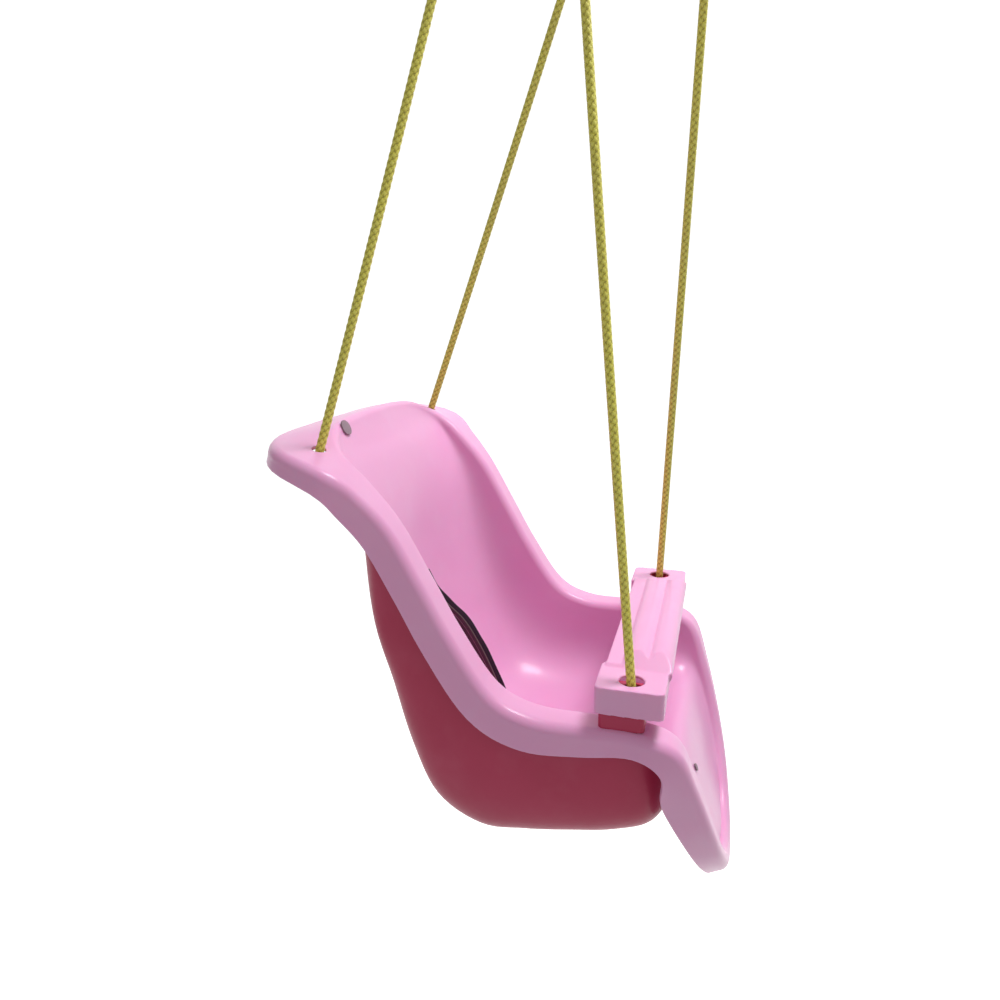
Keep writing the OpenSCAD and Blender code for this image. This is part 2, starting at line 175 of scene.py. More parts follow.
def resample(path, step):
    """The same line with points every step metres."""
    path = np.asarray(path, float)
    run = np.concatenate([[0], np.cumsum(np.linalg.norm(np.diff(path, axis=0), axis=1))])
    count = max(3, int(round(run[-1] / step)) + 1)
    at = np.linspace(0, run[-1], count)
    return np.stack([np.interp(at, run, path[:, k]) for k in range(3)], axis=1), at


def catmull(points, per):
    """A smooth line through the points, per steps between each two."""
    p = np.asarray(points, float)
    p = np.vstack([2 * p[0] - p[1], p, 2 * p[-1] - p[-2]])
    out = []
    for i in range(1, len(p) - 2):
        for t in np.linspace(0, 1, per, endpoint=False):
            out.append(blend4(p[i - 1], p[i], p[i + 1], p[i + 2], t))
    out.append(p[-2])
    return np.array(out)


def blend4(p0, p1, p2, p3, t):
    """Catmull-Rom point between p1 and p2."""
    return 0.5 * (2 * p1 + (p2 - p0) * t + (2 * p0 - 5 * p1 + 4 * p2 - p3) * t * t
                  + (3 * p1 - p0 - 3 * p2 + p3) * t ** 3)


# ------------------------------------------------------------------ braided rope

ROPE_D = 8 * MM
BRAID_SIDES = 32
BRAID_STEP = 0.9 * MM
BRAID_STRANDS = 4
BRAID_PITCH = 26 * MM
# A groove's depth and a strand's rise from it, as shares of the rope's radius
BRAID_DEPTH = 0.16
BRAID_RISE = 0.2
# How sharply the strands change places, and how flat their backs are
BRAID_CROSSING = 6
BRAID_FLATNESS = 0.6
CAP_RINGS = 4


def braided(name, path, diameter):
    """A solid-braid rope swept along path, its strands crossing over and under, its ends rounded."""
    line, run = resample(path, BRAID_STEP)
    sides, ups = cross_directions(line)
    angle = np.linspace(0, 2 * math.pi, BRAID_SIDES, endpoint=False)
    s, a = np.meshgrid(run, angle, indexing="ij")
    lay = 2 * math.pi * s / BRAID_PITCH
    left = BRAID_STRANDS * a + BRAID_STRANDS * lay
    right = BRAID_STRANDS * a - BRAID_STRANDS * lay
    over = 0.5 + 0.5 * np.tanh(BRAID_CROSSING * np.cos(left) * np.cos(right))
    strand_l = np.abs(np.cos(left / 2 + math.pi / 4)) ** BRAID_FLATNESS
    strand_r = np.abs(np.cos(right / 2 - math.pi / 4)) ** BRAID_FLATNESS
    height = over * strand_l + (1 - over) * strand_r
    radius = diameter / 2 * (1 - BRAID_DEPTH + BRAID_RISE * height)
    for k in range(CAP_RINGS):
        shrink = math.sin(math.pi / 2 * (k + 0.5) / CAP_RINGS)
        radius[k] *= shrink
        radius[-1 - k] *= shrink
    ring = (line[:, None, :] + radius[..., None] * (np.cos(a)[..., None] * sides[:, None, :]
                                                   + np.sin(a)[..., None] * ups[:, None, :]))
    n = len(line)
    verts = np.vstack([ring.reshape(-1, 3), line[:1], line[-1:]])
    faces = []
    for i in range(n - 1):
        for k in range(BRAID_SIDES):
            b = (k + 1) % BRAID_SIDES
            faces.append((i * BRAID_SIDES + k, i * BRAID_SIDES + b,
                          (i + 1) * BRAID_SIDES + b, (i + 1) * BRAID_SIDES + k))
    first = n * BRAID_SIDES
    last = first + 1
    for k in range(BRAID_SIDES):
        b = (k + 1) % BRAID_SIDES
        faces.append((first, b, k))
        faces.append((last, (n - 1) * BRAID_SIDES + k, (n - 1) * BRAID_SIDES + b))
    obj = mesh_object(name, verts, faces)
    # The strands' height, which the rope's material uses to paint shade in the grooves and highlight on
    # the crowns
    groove = obj.data.attributes.new("groove", "FLOAT", "POINT")
    groove.data.foreach_set("value", np.append(height.reshape(-1), [1, 1]).astype(np.float32))
    return obj


# The ropes' routes: lower holes in the seat's frame, in millimetres, and the pairs on the hang bar
REAR_HOLE = (-285, 142, 184)
FRONT_HOLE = (0, 145, 0)
HANG_HALF = 72
PAIR_HALF = 10.5
# Heights of the rim's underside, where the washers press, and of the middle of the rim's holes
REAR_LOW = 178.8
FRONT_LOW = -46.6
REAR_RIM = 184
FRONT_RIM = -41.5
WASHER_T = 1.6
ROPE_TUCK = 2
ROPE_POINTS = 25
ROPE_STEPS = 8
# How far each rope hangs out of its straight line at the middle
ROPE_SAG = 2


def rope_line(rear, side):
    """A function giving the straight rope's centre at a height in millimetres in the seat's frame."""
    hole = REAR_HOLE if rear else FRONT_HOLE
    low = np.array([hole[0], side * hole[1], hole[2]], float)
    top_x = side * HANG_HALF - SEAT_X
    top_y = side * (-PAIR_HALF if rear else PAIR_HALF)
    top = np.array([top_x, top_y, HANG_HEIGHT])
    return lambda z: low + (top - low) * (z - low[2]) / (top[2] - low[2])


def rope_route(rear, side):
    """Points down the rope, from its top knot to its lower one, with its slight sag."""
    at = rope_line(rear, side)
    high = HANG_HEIGHT + ROPE_TUCK
    low = (REAR_LOW if rear else FRONT_LOW) - WASHER_T - ROPE_TUCK
    axis = unit(at(high) - at(low))
    droop = unit(axis * axis[2] - np.array([0, 0, 1]))
    shares = np.linspace(0, 1, ROPE_POINTS)
    return [at(high) + (at(low) - at(high)) * t + 4 * ROPE_SAG * t * (1 - t) * droop for t in shares]


def corner(rear, side):
    """The end of a rope's or knot's name, such as rear_left."""
    return ("rear" if rear else "front") + ("_left" if side > 0 else "_right")


def make_rope(rear, side):
    name = "rope_" + corner(rear, side)
    path = [in_seat(*p) for p in rope_route(rear, side)]
    rope = braided(name + "_braid", catmull(path, ROPE_STEPS), ROPE_D)
    stand_in(rope, "seat", name)
    knots = [make_knot("top", rear, side), make_knot("seat", rear, side)]
    return [rope, *knots]


# A stopper knot: the rope's end turned round itself in a trefoil, with a short tail
KNOT_RING = 5.2 * MM
KNOT_WAVE = 2.9 * MM
KNOT_LIFT = 4.32 * MM
KNOT_ROPE = 6.6 * MM
KNOT_POINTS = 90
KNOT_STEPS = 3
# The share of the whole trefoil that the rope runs through before its tail
KNOT_SHARE = 0.96
# Turns each corner's knots to a different side
KNOT_TURN = 0.7
TAIL = 9 * MM
# The tail's points, as shares of its length outward and away from the bar or rim
TAIL_POINTS = ((0.35, 0.5), (0.45, 1))


def make_knot(end, rear, side):
    name = f"knot_{end}_{corner(rear, side)}"
    low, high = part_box(name)
    centre = (low + high) / 2
    up = 1 if end == "top" else -1
    turn = KNOT_TURN * (2 * rear + side)
    points = []
    for i in range(KNOT_POINTS):
        t = 2 * math.pi * i / KNOT_POINTS * KNOT_SHARE
        r = KNOT_RING + KNOT_WAVE * math.cos(3 * t)
        points.append((r * math.cos(2 * t + turn), r * math.sin(2 * t + turn),
                       up * KNOT_LIFT * math.sin(3 * t)))
    last = np.array(points[-1])
    outward = unit(np.array([last[0], last[1], 0]))
    for out, rise in TAIL_POINTS:
        points.append(tuple(last + outward * TAIL * out + np.array([0, 0, up * TAIL * rise])))
    path = np.array(centre) + catmull(points, KNOT_STEPS) @ np.array(LEAN).T
    return stand_in(braided(name + "_braid", path, KNOT_ROPE), "seat", name)


ROPE_PIECES = [p for rear in (True, False) for side in (-1, 1) for p in make_rope(rear, side)]


# ------------------------------------------------------------------ moulded shells

# The rim's inner corner from the back's middle round the left side to the apron's tip, the bucket's
# floor line, the tilt of the rim's up direction, the flange's width and the skirt's depth, at the
# same stations as the CAD model, in millimetres in the seat's frame
CREST = [(-290, 0, 208), (-290, 50, 207), (-286, 98, 201), (-268, 126, 184), (-240, 129, 158),
         (-211, 129, 124), (-183, 129, 76), (-155, 129, 27), (-121, 129, -21), (-85, 129, -38),
         (-40, 129, -40), (5, 129, -40), (40, 127, -52), (59, 120, -92), (74, 107, -138),
         (86, 84, -182), (93, 46, -216), (95, 0, -227)]
FLOOR = [(-284, 190), (-282, 186), (-277, 176), (-268, 160), (-258, 132), (-250, 96), (-243, 50),
         (-231, -4), (-208, -68), (-172, -120), (-110, -139), (-46, -136), (6, -120), (39, -114),
         (58, -142), (72, -182), (83, -210), (87, -218)]
TILT = [104, 103, 98, 84, 52, 36, 30, 33, 50, 76, 90, 90, 60, 26, 19, 16, 14, 14]
FLANGE = [54, 57, 64, 62, 46, 38, 37, 37, 37, 37, 37, 37, 35, 30, 25, 22, 21, 21]
SKIRT = [16, 16, 15, 19, 26, 28, 28, 29, 30, 30, 25, 20, 27, 34, 30, 24, 19, 17]
SHELL_WALL = 3
RIM_IN_R = 8
RIM_OUT_R = 10

# The outer tub's upper edge and floor line, at its own stations
TUB_TOP = [(-264, 0, 110), (-263, 60, 110), (-259, 106, 107), (-238, 134, 88), (-208, 137, 64),
           (-178, 138, 14), (-146, 138, -32), (-112, 138, -54), (-70, 138, -56), (-30, 138, -57),
           (2, 137, -66), (26, 122, -98), (36, 66, -130), (37, 0, -134)]
TUB_FLOOR = [(-260, 90), (-258, 72), (-252, 36), (-242, -10), (-230, -64), (-215, -124),
             (-192, -176), (-148, -201), (-104, -198), (-60, -190), (-16, -179), (18, -166),
             (33, -157), (36, -151)]
TUB_WALL = 3

# How square each one's cross-section is, from 2 for an ellipse
SEAT_POWER = 3.2
TUB_POWER = 4.5

# Steps between two stations, up a wall and round the rim's corners, which are in degrees
STATION_SPLIT = 6
WALL_STEPS = 28
ARC_STEP = 10
TUB_STEPS = 30
# Where the rim's points are, as shares of its flat and of its skirt, and how far the skirt flares
FLAT_SHARES = (0.2, 0.4, 0.6, 0.8)
SKIRT_SHARES = (0.25, 0.5, 0.75, 1)
SKIRT_FLARE = 2


def mirrored(row):
    return np.array([row[0], -row[1], row[2]]) if np.size(row) == 3 else row


def table_entry(table, i):
    last = len(table) - 1
    if i < 0:
        return mirrored(table[-i])
    if i > last:
        return mirrored(table[2 * last - i])
    return table[i]


def smooth_table(values):
    """The table with smooth steps between each two entries, mirrored at both ends."""
    table = [np.array(v, float) for v in values]
    out = []
    for i in range((len(table) - 1) * STATION_SPLIT + 1):
        a = min(i // STATION_SPLIT, len(table) - 2)
        around = [table_entry(table, a + k) for k in (-1, 0, 1, 2)]
        out.append(blend4(*around, i / STATION_SPLIT - a))
    return out


def wall_path(start, end, steps, power):
    """Half a cross-section, from the floor's middle up the wall to end, as a superellipse."""
    out = []
    for k in range(steps + 1):
        a = math.pi / 2 * k / steps
        side = math.sin(a) ** (2 / power)
        rise = 1 - abs(math.cos(a)) ** (2 / power) if k < steps else 1.0
        out.append(np.array([start[0] + (end[0] - start[0]) * rise, end[1] * side,
                             start[1] + (end[2] - start[1]) * rise]))
    return out


def rim_path(width, depth):
    """The rim's section in (outward, up): inner corner, flange, outer corner and skirt."""
    arc = np.radians(np.arange(0, 91, ARC_STEP))
    inner = [(RIM_IN_R * (1 - math.cos(a)), RIM_IN_R * (math.sin(a) - 1)) for a in arc[1:]]
    flat_to = width - RIM_OUT_R
    flat = [(RIM_IN_R + (flat_to - RIM_IN_R) * t, 0) for t in FLAT_SHARES]
    outer = [(flat_to + RIM_OUT_R * math.sin(a), RIM_OUT_R * (math.cos(a) - 1)) for a in arc]
    skirt = [(width + SKIRT_FLARE * t, -RIM_OUT_R - (depth - RIM_OUT_R) * t) for t in SKIRT_SHARES]
    return inner + flat + outer + skirt


def shell_normals(grid):
    """The outward direction at each point of a grid whose two end rows fold on the XZ plane."""
    n = grid.shape[0] - 1
    m = grid.shape[1] // 2
    across = np.zeros_like(grid)
    across[:, 1:-1] = grid[:, 2:] - grid[:, :-2]
    across[:, 0] = grid[:, 1] - grid[:, 0]
    across[:, -1] = grid[:, -1] - grid[:, -2]
    along = np.zeros_like(grid)
    along[1:-1] = grid[2:] - grid[:-2]
    along[0] = [0, 1, 0]
    along[-1] = [0, -1, 0]
    for i in (0, n):
        for j in range(m):
            across[i, j] = mirrored(across[i, 2 * m - j]) * -1
        across[i, m] = grid[i, m + 1] - grid[i, m]
    normal = np.cross(across, along)
    for i in (0, n):
        for j in range(m):
            normal[i, j] = normal[i, 2 * m - j]
        normal[i, :, 1] = 0
    normal[:, m, 1] = 0
    return normal / np.linalg.norm(normal, axis=2)[..., None]


def thin_shell(name, half, wall):
    """A closed shell over half sections half[i][k], mirrored across the XZ plane."""
    n = len(half) - 1
    m = len(half[0]) - 1
    grid = np.zeros((n + 1, 2 * m + 1, 3))
    for i in range(n + 1):
        for j in range(-m, m + 1):
            grid[i, j + m] = half[i][j] if j >= 0 else mirrored(half[i][-j])
    outer = grid + wall * shell_normals(grid)

    index = {}
    verts = []
    for layer, points in enumerate((grid, outer)):
        for i in range(n + 1):
            for j in range(2 * m + 1):
                if i in (0, n) and j < m:
                    continue
                index[layer, i, j] = len(verts)
                verts.append(in_seat(*points[i, j]))
            if i in (0, n):
                for j in range(m):
                    index[layer, i, j] = index[layer, i, 2 * m - j]
    faces = []
    for i in range(n):
        for j in range(2 * m):
            corners = [(i, j), (i, j + 1), (i + 1, j + 1), (i + 1, j)]
            faces.append([index[(0, *c)] for c in corners])
            faces.append([index[(1, *c)] for c in reversed(corners)])
        for j, flip in ((0, False), (2 * m, True)):
            strip = [index[0, i, j], index[0, i + 1, j], index[1, i + 1, j], index[1, i, j]]
            faces.append(strip[::-1] if flip else strip)
    return mesh_object(name, verts, faces)


def seat_half():
    """The left half-section of the bucket, its wall and its rim, at every station."""
    crest = smooth_table(CREST)
    floor = smooth_table(FLOOR)
    tilt = smooth_table(TILT)
    flange = smooth_table(FLANGE)
    skirt = smooth_table(SKIRT)
    half = []
    for i, c in enumerate(crest):
        before = crest[i - 1] if i else mirrored(crest[1])
        after = crest[i + 1] if i < len(crest) - 1 else mirrored(crest[i - 1])
        up = np.array([math.cos(math.radians(tilt[i])), 0, math.sin(math.radians(tilt[i]))])
        out = unit(np.cross(up, unit(after - before)))
        wall = wall_path(floor[i], c - RIM_IN_R * up, WALL_STEPS, SEAT_POWER)
        rim = [c + q[0] * out + q[1] * up for q in rim_path(float(flange[i]), float(skirt[i]))]
        half.append(wall + rim)
    return half


def tub_half():
    """The left half-section of the outer tub at every station."""
    top = smooth_table(TUB_TOP)
    floor = smooth_table(TUB_FLOOR)
    return [wall_path(f, t, TUB_STEPS, TUB_POWER) for f, t in zip(floor, top)]


ROPE_HOLE_R = 6.5 * MM
ROPE_HOLE_DEPTH = 24 * MM
ROPE_HOLE_SIDES = 48
LIP_BEVEL = 0.9 * MM


def cut_rope_holes(obj, holes):
    """Cuts a round hole through obj at each point, along the seat's own vertical."""
    for k, hole in enumerate(holes):
        bm = bmesh.new()
        bmesh.ops.create_cone(bm, cap_ends=True, segments=ROPE_HOLE_SIDES, radius1=ROPE_HOLE_R,
                              radius2=ROPE_HOLE_R, depth=ROPE_HOLE_DEPTH)
        bmesh.ops.rotate(bm, verts=bm.verts, matrix=LEAN)
        bmesh.ops.translate(bm, verts=bm.verts, vec=hole)
        mesh = bpy.data.meshes.new(f"cutter{k}")
        bm.to_mesh(mesh)
        bm.free()
        cutter = new_object(f"cutter{k}", mesh)
        cut = obj.modifiers.new("hole", "BOOLEAN")
        cut.operation = "DIFFERENCE"
        cut.solver = "EXACT"
        cut.object = cutter
    apply_modifiers(obj)
    for k in range(len(holes)):
        bpy.data.objects.remove(bpy.data.objects[f"cutter{k}"])


def round_edges(obj, width, degrees=50, segments=3):
    bevel = obj.modifiers.new("edges", "BEVEL")
    bevel.width = width
    bevel.segments = segments
    bevel.limit_method = "ANGLE"
    bevel.angle_limit = math.radians(degrees)


def make_seat():
    seat = thin_shell("seat_moulding", seat_half(), SHELL_WALL)
    holes = [in_seat(*rope_line(rear, side)(REAR_RIM if rear else FRONT_RIM))
             for rear in (True, False) for side in (-1, 1)]
    cut_rope_holes(seat, holes)
    round_edges(seat, LIP_BEVEL)
    return stand_in(seat, "seat", "seat_shell")


def make_tub():
    tub = thin_shell("tub_moulding", tub_half(), TUB_WALL)
    round_edges(tub, LIP_BEVEL)
    return stand_in(tub, "seat", "outer_tub")


SEAT_PIECE = make_seat()
TUB_PIECE = make_tub()


# ------------------------------------------------------------------ pieces moulded from their CAD solids

def softened(name, node, body, voxel, rounds):
    """A copy of a CAD solid with every edge rounded as a moulding's are."""
    obj = new_object(name, frame["nodes"][node].data.copy())
    remesh = obj.modifiers.new("remesh", "REMESH")
    remesh.mode = "VOXEL"
    remesh.voxel_size = voxel
    remesh.use_smooth_shade = True
    relax = obj.modifiers.new("relax", "SMOOTH")
    relax.factor = 0.5
    relax.iterations = rounds
    apply_modifiers(obj)
    return stand_in(obj, body, node)


GUARD_PIECE = softened("guard_moulding", "guard_bar", "guard", voxel=0.9 * MM, rounds=7)
# The saddles hold up the guard's end blocks; their deep rose is a painted shadow, the blocks' cast shadow
# on the rim
SADDLES = [softened(f"saddle_moulding_{s}", f"guard_saddle_{s}", "seat",
                    voxel=0.6 * MM, rounds=3) for s in ("right", "left")]
PLUG_PIECE = softened("plug_moulding", "belt_plug", "seat", voxel=0.5 * MM, rounds=3)


# ------------------------------------------------------------------ belt webbing

# Centre line and face tilt as in the CAD model, in millimetres in the seat's frame
BELT = [(-200, -125.8, 72, 0), (-190, -124.6, 54, 0), (-179, -119, 39, 5), (-167, -111, 23, 10),
        (-155, -106, 1, 15), (-144, -104, -22, 20), (-133, -103, -47, 32), (-122, -100, -70, 45),
        (-108, -96, -96, 60), (-86, -85, -113, 72), (-62, -73, -119, 78), (-44, -64, -119, 80)]
BELT_W = 25
BELT_T = 1.6
BELT_ACROSS = 60
BELT_STEPS = 12
BELT_STEP = 0.7 * MM
# The weave's ribs, edges and weft, as shares of half the thickness
BELT_BODY = 0.8
RIB_COUNT = 10
RIB_DEPTH = 0.16
SELVEDGE_DEPTH = 0.12
SELVEDGE_W = 0.06
WEFT_DEPTH = 0.05
WEFT_STEP = 2.2 * MM
# The higher, the squarer the belt's edges
EDGE_POWER = 24
# How far the edges wave, and over what length
BELT_RIPPLE = 0.35 * MM
BELT_RIPPLE_STEP = 34 * MM


def belt_faces(n, w):
    """The faces of a closed band of n rows of w points: upper and lower side, ends and edges."""
    faces = []
    for i in range(n - 1):
        for k in range(w - 1):
            a = i * w + k
            faces.append((a, a + w, a + w + 1, a + 1))
            faces.append((n * w + a, n * w + a + 1, n * w + a + w + 1, n * w + a + w))
    for end in (0, n - 1):
        for k in range(w - 1):
            a = end * w + k
            quad = (a, a + 1, n * w + a + 1, n * w + a)
            faces.append(quad if end == 0 else quad[::-1])
    for k in (0, w - 1):
        for i in range(n - 1):
            a = i * w + k
            quad = (a, n * w + a, n * w + a + w, a + w)
            faces.append(quad if k == 0 else quad[::-1])
    return faces


def make_belt():
    """Woven webbing: raised lengthwise ribs with a weft ripple, thicker at its two edges."""
    rows = catmull(BELT, BELT_STEPS)
    line, run = resample(np.array([in_seat(*r[:3]) for r in rows]), BELT_STEP)
    share = np.linspace(0, 1, len(line))
    tilt = np.radians(np.interp(share, np.linspace(0, 1, len(rows)), rows[:, 3]))
    tangents = np.gradient(line, axis=0)
    tangents /= np.linalg.norm(tangents, axis=1)[:, None]
    face = np.stack([np.zeros_like(tilt), np.cos(tilt), np.sin(tilt)], axis=1) @ np.array(LEAN).T
    side = np.cross(tangents, face)
    side /= np.linalg.norm(side, axis=1)[:, None]
    up = np.cross(side, tangents)
    u = np.linspace(-1, 1, BELT_ACROSS)
    rib = RIB_DEPTH * np.abs(np.sin(u * math.pi * RIB_COUNT / 2))
    selvedge = SELVEDGE_DEPTH * np.exp(-((1 - np.abs(u)) / SELVEDGE_W) ** 2)
    weft = WEFT_DEPTH * np.sin(2 * math.pi * run[:, None] / WEFT_STEP + (u[None, :] > 0) * math.pi)
    round_off = np.sqrt(np.clip(1 - np.abs(u) ** EDGE_POWER, 0, 1))
    half = (BELT_T / 2 * round_off[None, :] * (BELT_BODY + rib + selvedge + weft)) * MM
    wave = np.sin(2 * math.pi * run[:, None] / BELT_RIPPLE_STEP + 2 * u[None, :])
    ripple = BELT_RIPPLE * (1 + wave) * u[None, :] ** 2
    centre = line[:, None, :] + (u[None, :, None] * BELT_W / 2 * MM) * side[:, None, :]
    centre = centre + ripple[..., None] * up[:, None, :]
    top = centre + half[..., None] * up[:, None, :]
    low = centre - half[..., None] * up[:, None, :]
    verts = np.vstack([top.reshape(-1, 3), low.reshape(-1, 3)])
    belt = mesh_object("belt_webbing", verts, belt_faces(len(line), BELT_ACROSS))
    bm = bmesh.new()
    bm.from_mesh(belt.data)
    bmesh.ops.recalc_face_normals(bm, faces=bm.faces)
    bm.to_mesh(belt.data)
    bm.free()
    across = belt.data.attributes.new("across", "FLOAT", "POINT")
    across.data.foreach_set("value", np.tile((u + 1) / 2, 2 * len(line)).astype(np.float32))
    stand_in(belt, "seat", "belt_strap")
    return belt


BELT_PIECE = make_belt()


# ------------------------------------------------------------------ materials

def new_material(name):
    """A new material, with its nodes, links and main shader."""
    mat = bpy.data.materials.new(name)
    mat.use_nodes = True
    nodes, links = mat.node_tree.nodes, mat.node_tree.links
    shader = nodes["Principled BSDF"]
    return mat, nodes, links, shader


def noise(nodes, links, scale, detail, rough=0.5, stretch=None):
    """A noise texture in the object's own metres, stretched along an axis if asked."""
    coords = nodes.new("ShaderNodeTexCoord")
    tex = nodes.new("ShaderNodeTexNoise")
    tex.inputs["Scale"].default_value = scale
    tex.inputs["Detail"].default_value = detail
    tex.inputs["Roughness"].default_value = rough
    if stretch:
        mapping = nodes.new("ShaderNodeMapping")
        mapping.inputs["Scale"].default_value = stretch
        links.new(coords.outputs["Object"], mapping.inputs["Vector"])
        links.new(mapping.outputs["Vector"], tex.inputs["Vector"])
    else:
        links.new(coords.outputs["Object"], tex.inputs["Vector"])
    return tex.outputs["Fac"]


def ramp(nodes, links, source, stops):
    node = nodes.new("ShaderNodeValToRGB")
    elements = node.color_ramp.elements
    ends = (elements[0], elements[-1])
    for element, (at, colour) in zip(ends, (stops[0], stops[-1])):
        element.position = at
        element.color = (*colour, 1)
    for at, colour in stops[1:-1]:
        elements.new(at).color = (*colour, 1)
    links.new(source, node.inputs["Fac"])
    return node.outputs["Color"]


def span(nodes, links, source, low, high):
    """source from 0 to 1 carried on to low to high."""
    node = nodes.new("ShaderNodeMapRange")
    node.inputs["To Min"].default_value = low
    node.inputs["To Max"].default_value = high
    links.new(source, node.inputs["Value"])
    return node.outputs["Result"]


def mix(nodes, links, fac, a, b):
    node = nodes.new("ShaderNodeMix")
    node.data_type = "RGBA"
    for socket, value in ((node.inputs["Factor"], fac), (node.inputs["A"], a), (node.inputs["B"], b)):
        if isinstance(value, (float, tuple)):
            socket.default_value = value if isinstance(value, float) else (*value, 1)
        else:
            links.new(value, socket)
    return node.outputs["Result"]


def bump(nodes, links, shader, height, strength, distance):
    node = nodes.new("ShaderNodeBump")
    node.inputs["Strength"].default_value = strength
    node.inputs["Distance"].default_value = distance
    links.new(height, node.inputs["Height"])
    links.new(node.outputs["Normal"], shader.inputs["Normal"])


UNWORN = (0, 0, 0)
MOST_WORN = (0.4, 0.4, 0.4)
# How far light spreads inside the plastic, in metres, and its shares of red, green and blue
GLOW_DEPTH = 0.006
GLOW_SPREAD = (1.0, 0.35, 0.5)


def moulded(name, colour, deep, scuffed, roughness, glow, gloss):
    """Glossy moulded plastic: cloudy colour, faint orange peel and paler, worn patches."""
    mat, nodes, links, shader = new_material(name)
    clouds = noise(nodes, links, scale=9, detail=5)
    body = ramp(nodes, links, clouds, [(0.3, deep), (0.7, colour)])
    patches = noise(nodes, links, scale=22, detail=4)
    worn = ramp(nodes, links, patches, [(0.5, UNWORN), (0.8, MOST_WORN)])
    links.new(mix(nodes, links, worn, body, scuffed), shader.inputs["Base Color"])
    fine = noise(nodes, links, scale=130, detail=3)
    uneven = span(nodes, links, fine, low=roughness - 0.05, high=roughness + 0.08)
    links.new(uneven, shader.inputs["Roughness"])
    shader.inputs["Subsurface Weight"].default_value = glow
    shader.inputs["Subsurface Radius"].default_value = GLOW_SPREAD
    shader.inputs["Subsurface Scale"].default_value = GLOW_DEPTH
    shader.inputs["Specular IOR Level"].default_value = gloss
    shader.inputs["Coat Weight"].default_value = gloss / 3
    shader.inputs["Coat Roughness"].default_value = 0.1
    peel = noise(nodes, links, scale=420, detail=2)
    bump(nodes, links, shader, peel, strength=0.05, distance=0.0004)
    return mat


# Painted shade in the braid's grooves and painted highlight on the strands' crowns, either side of the
# strands' own yellow
GROOVE_PAINTED_SHADE = (0.35, 0.30, 0.03)
STRAND_YELLOW = (0.85, 0.78, 0.07)
CROWN_PAINTED_HIGHLIGHT = (0.98, 0.95, 0.19)
DUST = (0.42, 0.33, 0.10)


def braid_material():
    """Polypropylene cord: grooves painted darker as shade and strand crowns painted brighter as highlight,
    with fine fibres.
    """
    mat, nodes, links, shader = new_material("rope_yellow")
    groove = nodes.new("ShaderNodeAttribute")
    groove.attribute_name = "groove"
    strands = ramp(nodes, links, groove.outputs["Fac"],
                   [(0.35, GROOVE_PAINTED_SHADE), (0.75, STRAND_YELLOW), (1.0, CROWN_PAINTED_HIGHLIGHT)])
    dusty = span(nodes, links, noise(nodes, links, scale=35, detail=5), low=0.0, high=0.45)
    links.new(mix(nodes, links, dusty, strands, DUST), shader.inputs["Base Color"])
    uneven = span(nodes, links, noise(nodes, links, scale=700, detail=2), low=0.38, high=0.6)
    links.new(uneven, shader.inputs["Roughness"])
    shader.inputs["Sheen Weight"].default_value = 0.3
    shader.inputs["Sheen Roughness"].default_value = 0.4
    fibres = noise(nodes, links, scale=2600, detail=2, stretch=(1, 1, 0.15))
    bump(nodes, links, shader, fibres, strength=0.35, distance=0.0003)
    return mat


NAVY = (0.014, 0.010, 0.022)
PALE = (0.24, 0.25, 0.19)
MAROON = (0.085, 0.022, 0.045)
BLUSH = (0.30, 0.13, 0.19)
FLECK = (0.09, 0.04, 0.06)


def webbing_material():
    """Striped belt webbing, the same from both edges: navy, a pale line, maroon and a pink middle line."""
    mat, nodes, links, shader = new_material("webbing")
    across = nodes.new("ShaderNodeAttribute")
    across.attribute_name = "across"
    half_width = [(0.0, NAVY), (0.18, NAVY), (0.195, PALE), (0.225, PALE), (0.24, MAROON),
                  (0.36, MAROON), (0.37, BLUSH), (0.385, BLUSH), (0.40, MAROON)]
    stops = half_width + [(1 - at, tone) for at, tone in reversed(half_width)]
    stripe = ramp(nodes, links, across.outputs["Fac"], stops)
    flecks = noise(nodes, links, scale=900, detail=3)
    flecked = mix(nodes, links, span(nodes, links, flecks, low=0.0, high=0.25), stripe, FLECK)
    links.new(flecked, shader.inputs["Base Color"])
    links.new(span(nodes, links, flecks, low=0.55, high=0.85), shader.inputs["Roughness"])
    shader.inputs["Sheen Weight"].default_value = 0.25
    threads = noise(nodes, links, scale=1800, detail=2)
    bump(nodes, links, shader, threads, strength=0.4, distance=0.0002)
    return mat


# The metal's dull patches and the grained plastic's light ones, as shares of the colour
DULLED = 0.72
LIGHTENED = 1.35


def metal_material(name, colour, roughness):
    """Zinc-plated steel: patchy tone, fine brushing and dulled spots."""
    mat, nodes, links, shader = new_material(name)
    patches = noise(nodes, links, scale=40, detail=6, rough=0.6)
    dull = tuple(c * DULLED for c in colour)
    links.new(ramp(nodes, links, patches, [(0.35, dull), (0.7, colour)]), shader.inputs["Base Color"])
    spots = noise(nodes, links, scale=240, detail=5)
    uneven = span(nodes, links, spots, low=roughness - 0.1, high=roughness + 0.15)
    links.new(uneven, shader.inputs["Roughness"])
    shader.inputs["Metallic"].default_value = 1.0
    brushing = noise(nodes, links, scale=900, detail=2, stretch=(0.1, 1, 1))
    bump(nodes, links, shader, brushing, strength=0.15, distance=0.0001)
    return mat


def grained_material(name, colour, roughness):
    """Plain moulded plastic with a fine spark-eroded grain."""
    mat, nodes, links, shader = new_material(name)
    tone = noise(nodes, links, scale=60, detail=4)
    lighter = tuple(c * LIGHTENED for c in colour)
    links.new(ramp(nodes, links, tone, [(0.3, colour), (0.75, lighter)]), shader.inputs["Base Color"])
    grain = noise(nodes, links, scale=1500, detail=2)
    uneven = span(nodes, links, grain, low=roughness - 0.08, high=roughness + 0.12)
    links.new(uneven, shader.inputs["Roughness"])
    bump(nodes, links, shader, grain, strength=0.25, distance=0.0002)
    return mat


def paint(objects, mat):
    for obj in objects:
        obj.data.materials.clear()
        obj.data.materials.append(mat)


